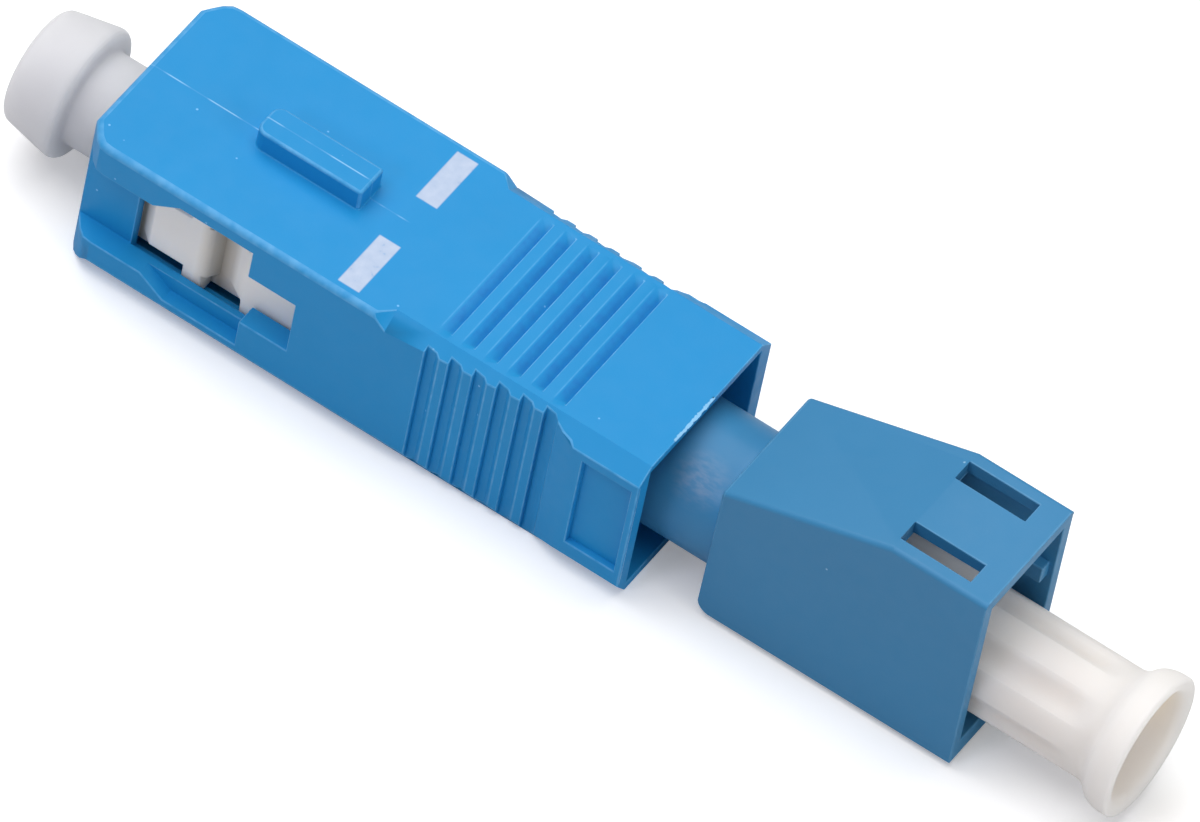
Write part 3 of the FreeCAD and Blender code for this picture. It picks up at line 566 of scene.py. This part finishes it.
def groove_end(along, across, up):
    """True for either end of a side groove, where it runs out into a cut corner."""
    return (RIB_FIRST - 0.1 < along[0] and 0.5 < along[1] - along[0] < 0.75 and min(map(abs, across)) > 3.6
            and 0.05 < across[1] - across[0] < 0.3)


def nose_or_top(along, across, up):
    """True for the edges of the roof in front of the grip, and for the upper ones of the nose."""
    upright = along[1] - along[0] < CLOSE and abs(along[1] - NOSE_END) < 0.1
    outside = min(map(abs, across)) > 3.4 or along[1] < CLOSE
    rim = up[0] > SHELL_TOP - 0.1 and along[1] < RAMP_FRONT + 0.05 and outside
    return SHELL_TOP - 0.1 < up[1] < SHELL_TOP + 0.1 and (rim or upright)


def key_rim(along, across, up):
    return up[1] > KEY_RIM_ABOVE


def key_foot(along, across, up):
    return (SHELL_TOP - 0.1 < up[0] and up[1] < SHELL_TOP + 0.05 and max(map(abs, across)) < KEY_SIDE
            and KEY_FRONT - 0.2 < along[0] and along[1] < KEY_REAR + 0.05)


def window_edge(along, across, up):
    return up[0] > WINDOW_ABOVE and 0.1 < along[0] and along[1] < GRIP_EDGES_FROM


def grip_edge(along, across, up):
    """True for the edges of grooves, ribs and recess, but not for the roof's long sides."""
    length = along[1] - along[0]
    roof_side = up[0] > SHELL_TOP - 0.05 and min(map(abs, across)) > RIB_END + 0.05 and length > 0.1
    return up[0] > GRIP_EDGES_ABOVE and along[0] > GRIP_EDGES_FROM and length < GRIP_EDGE_LENGTH and not roof_side


shell_bm = moulded_copy("sc_outer_housing")
for vert in shell_bm.verts:
    spot = spot_of(vert)
    rib_corner = abs(abs(spot.z) - SHELL_TOP + RIB_DEPTH) < CLOSE and abs(abs(spot.y) - RIB_END) < CLOSE
    if rib_corner and spot.x > RIB_FIRST:
        vert.co = place(spot.x, math.copysign(RIB_END - RIB_RUN_OUT, spot.y),
                        math.copysign(SHELL_TOP - RIB_SUNK, spot.z))
    groove_floor = SHELL_SIDE - WAIST_SLOPE * (spot.x - GRIP_FRONT) - GROOVE_DEPTH
    if spot.x > RIB_FIRST - 0.1 and abs(abs(spot.y) - groove_floor) < CLOSE:
        lowered = CUT_CORNER_SLOPE * GROOVE_FILL if spot.z > GROOVE_TOP_ABOVE else 0.0
        vert.co = place(spot.x, math.copysign(groove_floor + GROOVE_FILL, spot.y), spot.z - lowered)
    top_corner = abs(spot.y) > SHELL_SIDE - CORNER_REACH and spot.z > SHELL_TOP - CORNER_REACH
    if top_corner and spot.x < GRIP_FRONT + 0.05:
        vert.co = place(NOSE_END if spot.x < KEY_FRONT else RAMP_FRONT, math.copysign(SHELL_SIDE, spot.y),
                        SHELL_TOP)
bmesh.ops.remove_doubles(shell_bm, verts=shell_bm.verts, dist=MERGE)
bmesh.ops.dissolve_limit(shell_bm, angle_limit=FLAT, verts=shell_bm.verts, edges=shell_bm.edges)
rib_fronts = [RIB_FIRST + number * RIB_PITCH for number in range(RIBS + 1)]
rib_rows = [front + side for front in rib_fronts[:RIBS] for side in (0.0, RIB_WIDTH)]
for row in (KEY_FRONT - 1, KEY_REAR + 1, *rib_rows):
    cut_across(filter(on_roof, shell_bm.faces), row)
for row in rib_fronts:
    cut_across(filter(on_cut_corner, shell_bm.faces), row)
stray = [edge for edge in shell_bm.edges if edge.is_manifold and all(map(on_roof, edge.link_faces))
         and slanting(*spans(edge))]
bmesh.ops.dissolve_edges(shell_bm, edges=stray, use_verts=False)
groove_ends = [edge for edge in shell_bm.edges if groove_end(*spans(edge))]
split = bmesh.ops.subdivide_edges(shell_bm, edges=groove_ends, cuts=1)
for vert in [made for made in split["geom_inner"] if isinstance(made, bmesh.types.BMVert)]:
    vert.co += Vector((HEEL[0] * MM, math.copysign(HEEL[1], -vert.co.y) * MM, 0.0))
corner_faces = list(filter(on_nose_corner, shell_bm.faces))
for row in NOSE_CUTS:
    cut = cut_across(corner_faces, row)
    corner_faces = [made for made in cut["geom"] if isinstance(made, bmesh.types.BMFace)]
    swell = NOSE_SWELL * (1 - (2 * row / NOSE_END - 1) ** 2) * MM
    for vert in dict.fromkeys(made for made in cut["geom_cut"] if isinstance(made, bmesh.types.BMVert)):
        vert.co += Vector((NOSE_NORMAL[0] * swell, math.copysign(NOSE_NORMAL[1], vert.co.y) * swell, 0.0))
rounded(shell_bm, 0.25, 5, nose_or_top)
rounded(shell_bm, 0.12, 5, key_rim, shortest=ARC_EDGE)
rounded(shell_bm, 0.08, 3, key_foot, inner=True, shortest=ARC_EDGE)
rounded(shell_bm, 0.05, 3, window_edge)
rounded(shell_bm, 0.05, 3, grip_edge)
even_normals(finished(shell_bm, "push_pull_shell", "grip", ["sc_outer_housing"], shell_blue))

torn = random.Random(7)
flash = bmesh.new()


def torn_edge(start, end, foot, drop, most):
    """A ragged sliver along an edge: one foot on each of the faces that meet there, and a torn tip outside."""
    run = Vector(end) - Vector(start)
    count = max(2, round(run.length / FLASH_STEP))
    out = ((Vector(foot) + Vector(drop)) * -1).normalized()
    rows = []
    for number in range(count + 1):
        fade = min(1.0, 4 * min(number, count - number) / count)
        spot = Vector(start) + run * number / count
        reach = torn.uniform(0.0, most) * fade
        rows.append([place(*(spot + Vector(foot) * torn.uniform(0.5, 1.0))),
                     place(*(spot + out * reach)),
                     place(*(spot + Vector(drop) * torn.uniform(0.5, 1.0)))])
    strip = bmesh.ops.create_grid(flash, x_segments=count, y_segments=2, size=1.0)
    for vert in strip["verts"]:
        vert.co = rows[round((vert.co.x + 1) / 2 * count)][round(vert.co.y) + 1]


flash_pale, _, _ = plastic("flash_pale", paint(136, 196, 236), paint(214, 234, 250),
                           cloud=0.1, specks=0.6, gloss=0.35, relief=0.3)
torn_edge((SHELL_END, -2.2, SHELL_TOP), (SHELL_END, 0.5, SHELL_TOP),
          foot=(-0.14, 0.0, 0.0), drop=(0.0, 0.0, -0.1), most=0.09)
torn_edge((SHELL_END, 0.09 - SHELL_SIDE, 3.05), (SHELL_END, 0.09 - SHELL_SIDE, -2.8),
          foot=(-0.05, 0.0, 0.0), drop=(0.0, 0.06, 0.0), most=0.06)
bmesh.ops.recalc_face_normals(flash, faces=flash.faces)
finished(flash, "shell_flash", "grip", [], flash_pale)


# Socket housing: one steel-blue moulding with the neck, the sloping roof with two latch slots, and the bay.
# Its nose is snapped into the frame from behind, and a pale streaky highlight is painted on the neck where it
# reflects the lamp.
# Edges are nearly square, with a larger rounding at the heel.
BACK_ALONG = (28.0, 28.1)
BACK_OUTSIDE = 3.2
CATCH_ALONG = (37.4, 39.2)
CATCH_ACROSS = (1.9, 2.5)
CATCH_UP = (2.7, 3.7)
CATCH_MIDDLE = 38.0
CATCH_END = 39.25
CATCH_DROP = 0.28
NECK_HIGHLIGHT_SPOT = (26.6, -1.9, 2.05)
NECK_HIGHLIGHT_REACH = (0.2, 1.3)
socket_blue, socket_surface, socket_skin = plastic("socket_blue", paint(57, 131, 178), paint(140, 186, 216),
                                                   cloud=0.02, specks=0.1, gloss=0.4)
socket_surface.inputs["Specular IOR Level"].default_value = 0.32
socket_tree = socket_blue.node_tree
# Pale rounded edges on the socket: partly wear, partly painted highlight.
socket_edged = shader(socket_tree, "Group", {"Colour": socket_skin["Colour"], "Worn_and_lit": paint(112, 168, 206),
                                             "Least": 0.15, "Most": 0.4}, node_tree=PALE_EDGES_WORN_AND_LIT).outputs["Colour"]
socket_where = object_space(socket_tree)
# Painted highlight: a pale streaky patch on the neck's front, where the rough surface reflects the lamp.
from_neck_highlight = shader(socket_tree, "VectorMath", {0: socket_where, 1: place(*NECK_HIGHLIGHT_SPOT)}, operation="DISTANCE")
drawn_out = shader(socket_tree, "Mapping", {"Vector": socket_where, "Scale": (2200.0, 5000.0, 5000.0)})
highlight_streaks = noise(socket_tree, drawn_out.outputs[0], scale=1.0, detail=3.0)
neck_highlight = times(socket_tree, shares(socket_tree, from_neck_highlight.outputs["Value"], NECK_HIGHLIGHT_REACH[0] * MM,
                                    NECK_HIGHLIGHT_REACH[1] * MM, 1.0, 0.0),
                shares(socket_tree, highlight_streaks, 0.35, 0.65, 0.1, 0.42))
socket_tree.links.new(mixed(socket_tree, neck_highlight, socket_edged, paint(160, 172, 194)),
                      socket_surface.inputs["Base Color"])


def back_edge(along, across, up):
    return (BACK_ALONG[0] < along[0] and along[1] < BACK_ALONG[1]
            and max(map(abs, across + up)) > BACK_OUTSIDE)


socket_bm = moulded_copy("lc_housing")
for vert in socket_bm.verts:
    spot = spot_of(vert)
    if (CATCH_ALONG[0] < spot.x < CATCH_ALONG[1] and CATCH_ACROSS[0] < abs(spot.y) < CATCH_ACROSS[1]
            and CATCH_UP[0] < spot.z < CATCH_UP[1]):
        vert.co = place(spot.x if spot.x < CATCH_MIDDLE else CATCH_END, spot.y, spot.z - CATCH_DROP)
rounded(socket_bm, 0.14, 4, back_edge, shortest=ARC_EDGE)
rounded(socket_bm, 0.06, 3, any_edge)
even_normals(finished(socket_bm, "socket_housing", "core", ["lc_housing"], socket_blue))


# Cap: a soft frosted polyethylene cap on the plug's ferrule, moulded with a tapered head to pull it by.
# Light goes into it and comes out again softened, so its edges are faint.
cap_frosted, cap_surface, _ = plastic("cap_frosted", paint(213, 213, 216), paint(236, 236, 236),
                                      cloud=0.02, specks=0.1, gloss=0.5)
let_light_in(cap_surface, weight=1.0, depth=3.0, tint=(1.0, 1.0, 1.0))
cap = turned([(-4.6, 0.0, 0.0), (-4.6, 2.38, 0.3), (-2.07, 2.88, 0.42), (-2.07, 2.025, 0.15),
              (5.6, 2.025, 0.12), (5.6, 1.3, 0.1), (-1.0, 1.3, 0.1), (-1.0, 0.0, 0.0)], closed=False)
finished(cap, "ferrule_cap", "sc_cap", ["sc_dust_cap"], cap_frosted)


# Plug: a white moulded plug in the socket's bay, with six shallow round-bottomed flutes along it.
# Its hollow head flares out so that it can be pulled, and the shaded upper inside of its dish is painted warmer,
# for the warm light that comes through the thin wall.
FLUTES = 6
FLUTE_TURN = math.radians(41)
FLUTE_DEPTH = 0.26
FLUTE_FRONT = 30.8
FLUTE_FADE = (42.9, 44.1)
FLUTE_OUTSIDE = 1.8
FLUTE_ROUNDNESS = 0.8
PLUG_STEPS = 120
PLUG_RADIUS = 2.37
PLUG_END = 46.0
DISH_FLOOR = 43.4
DISH_RADIUS = 1.9
DISH_SLOPE = 0.173
DISH_SHADE_UP = (-1.7, 0.6)
plug_white, plug_surface, plug_skin = plastic("plug_white", paint(237, 232, 227), paint(252, 252, 252),
                                              cloud=0.02, specks=0.05, gloss=0.4)
let_light_in(plug_surface, weight=0.9, depth=1.6, tint=(1.0, 0.97, 0.94))
plug_tree = plug_white.node_tree
from_axis = shader(plug_tree, "VectorMath", {0: object_space(plug_tree), 1: place(0.0, 0.0, 0.0)},
                   operation="SUBTRACT").outputs[0]
plug_xyz = shader(plug_tree, "SeparateXYZ", {"Vector": from_axis}).outputs
plug_flat = shader(plug_tree, "CombineXYZ", {"Y": plug_xyz[1], "Z": plug_xyz[2]}).outputs[0]
plug_out = shader(plug_tree, "VectorMath", {0: plug_flat}, operation="LENGTH").outputs["Value"]
past_floor = reckoned(plug_tree, "SUBTRACT", plug_xyz[0], DISH_FLOOR * MM)
past_wall = reckoned(plug_tree, "MULTIPLY_ADD", past_floor, -DISH_SLOPE, plug_out)
# Painted shade: the upper inside of the dish, which lies in shade, is painted warmer and lighter, as if lit
# through the thin wall.
dish_shade_tint = times(plug_tree,
                shares(plug_tree, past_wall, (DISH_RADIUS + 0.05) * MM, (DISH_RADIUS + 0.15) * MM, 1.0, 0.0),
                shares(plug_tree, plug_xyz[0], (PLUG_END - 0.9) * MM, (PLUG_END - 0.1) * MM, 1.0, 0.0),
                shares(plug_tree, past_floor, -0.2 * MM, -0.1 * MM),
                shares(plug_tree, plug_xyz[2], DISH_SHADE_UP[0] * MM, DISH_SHADE_UP[1] * MM))
plug_tree.links.new(mixed(plug_tree, dish_shade_tint, plug_skin["Colour"], paint(252, 236, 218)),
                    plug_surface.inputs["Base Color"])
fluted = [(along, PLUG_RADIUS, 0.0) for along in (40.0, 42.8, 43.2, 43.6, 44.0)]
plug = turned([(34.05, 0.0, 0.0), (34.05, 1.55, 0.0), (30.85, 1.55, 0.1), (30.85, PLUG_RADIUS - 0.3, 0.05),
               (31.15, PLUG_RADIUS, 0.15), *fluted, (44.45, PLUG_RADIUS, 0.3), (44.85, 2.84, 0.2),
               (45.35, 3.01, 0.2), (PLUG_END, 3.02, 0.16), (PLUG_END, 2.35, 0.42),
               (DISH_FLOOR, DISH_RADIUS, 0.4), (DISH_FLOOR, 0.0, 0.0)], closed=False, steps=PLUG_STEPS)
for vert in plug.verts:
    spot = spot_of(vert)
    out = math.hypot(spot.y, spot.z)
    if out > FLUTE_OUTSIDE and FLUTE_FRONT < spot.x < FLUTE_FADE[1]:
        turn = math.atan2(-spot.y, spot.z) - FLUTE_TURN
        wave = max(0.0, math.cos(FLUTES * turn)) ** FLUTE_ROUNDNESS
        fade = min(1.0, (FLUTE_FADE[1] - spot.x) / (FLUTE_FADE[1] - FLUTE_FADE[0]))
        sunk = 1 - FLUTE_DEPTH * wave * fade * fade * (3 - 2 * fade) / out
        vert.co = place(spot.x, spot.y * sunk, spot.z * sunk)
finished(plug, "socket_plug", "lc_plug", ["lc_dust_plug"], plug_white)


# Floor, light and camera: white paper under a large soft lamp high at the back left, with a small soft lamp
# low at the front left and a wide one beyond the socket's end, in a bright room.
# The camera has a long lens and looks down on the adapter from the front right.
CAMERA_PLACE = (0.257714, -0.575710, 0.773837)
CAMERA_AXES = ((0.82254, 0.55179, 0.13770), (-0.50659, 0.60086, 0.61833), (0.25845, -0.57836, 0.77376))
LENS = 799.35
paper = bmesh.new()
bmesh.ops.create_grid(paper, x_segments=1, y_segments=1, size=1.0)
paper_mesh = bpy.data.meshes.new("paper")
paper.to_mesh(paper_mesh)
paper.free()
floor = bpy.data.objects.new("paper", paper_mesh)
bpy.context.collection.objects.link(floor)
white_paper, paper_surface, paper_skin = plastic("white_paper", paint(247, 247, 247), paint(250, 250, 250),
                                                 cloud=0.01, specks=0.0, gloss=0.85)
paper_tree = white_paper.node_tree
looked_at = paper_tree.nodes.new("ShaderNodeLightPath").outputs["Is Camera Ray"]
paper_tree.links.new(mixed(paper_tree, looked_at, paint(208, 208, 208), paper_skin["Colour"]),
                     paper_surface.inputs["Base Color"])
paper_surface.inputs["Emission Strength"].default_value = 0.25
paper_tree.links.new(mixed(paper_tree, looked_at, (0.0, 0.0, 0.0, 1.0), paper_skin["Colour"]),
                     paper_surface.inputs["Emission Color"])
paper_mesh.materials.append(white_paper)

world = bpy.data.worlds.new("studio")
bpy.context.scene.world = world
world.use_nodes = True
world.node_tree.nodes["Background"].inputs["Color"].default_value = (1.0, 1.0, 1.0, 1.0)
world.node_tree.nodes["Background"].inputs["Strength"].default_value = 0.2


def soft_lamp(name, energy, size, spot, colour=(1.0, 1.0, 1.0)):
    """A square lamp of this size that looks at the part."""
    lamp = bpy.data.objects.new(name, bpy.data.lights.new(name, "AREA"))
    lamp.data.energy = energy
    lamp.data.size = size
    lamp.data.color = colour
    lamp.location = spot
    lamp.rotation_mode = "QUATERNION"
    lamp.rotation_quaternion = (-Vector(spot)).to_track_quat("-Z", "Y")
    bpy.context.collection.objects.link(lamp)


soft_lamp("softbox", energy=2.76, size=0.6, spot=(-0.12, 0.03, 0.45))
soft_lamp("fill", energy=0.33, size=0.12, spot=(-0.13, -0.39, 0.29), colour=(0.86, 0.83, 1.0))
soft_lamp("window", energy=0.95, size=0.3, spot=(0.52, -0.06, 0.16))

camera = bpy.data.objects.new("camera", bpy.data.cameras.new("camera"))
camera.matrix_world = Matrix.Translation(CAMERA_PLACE) @ Matrix(CAMERA_AXES).transposed().to_4x4()
camera.data.lens = LENS
camera.data.sensor_width = 36
camera.data.clip_start = 0.1
camera.data.clip_end = 5
bpy.context.collection.objects.link(camera)
bpy.context.scene.camera = camera
bpy.context.scene.view_settings.view_transform = "Standard"
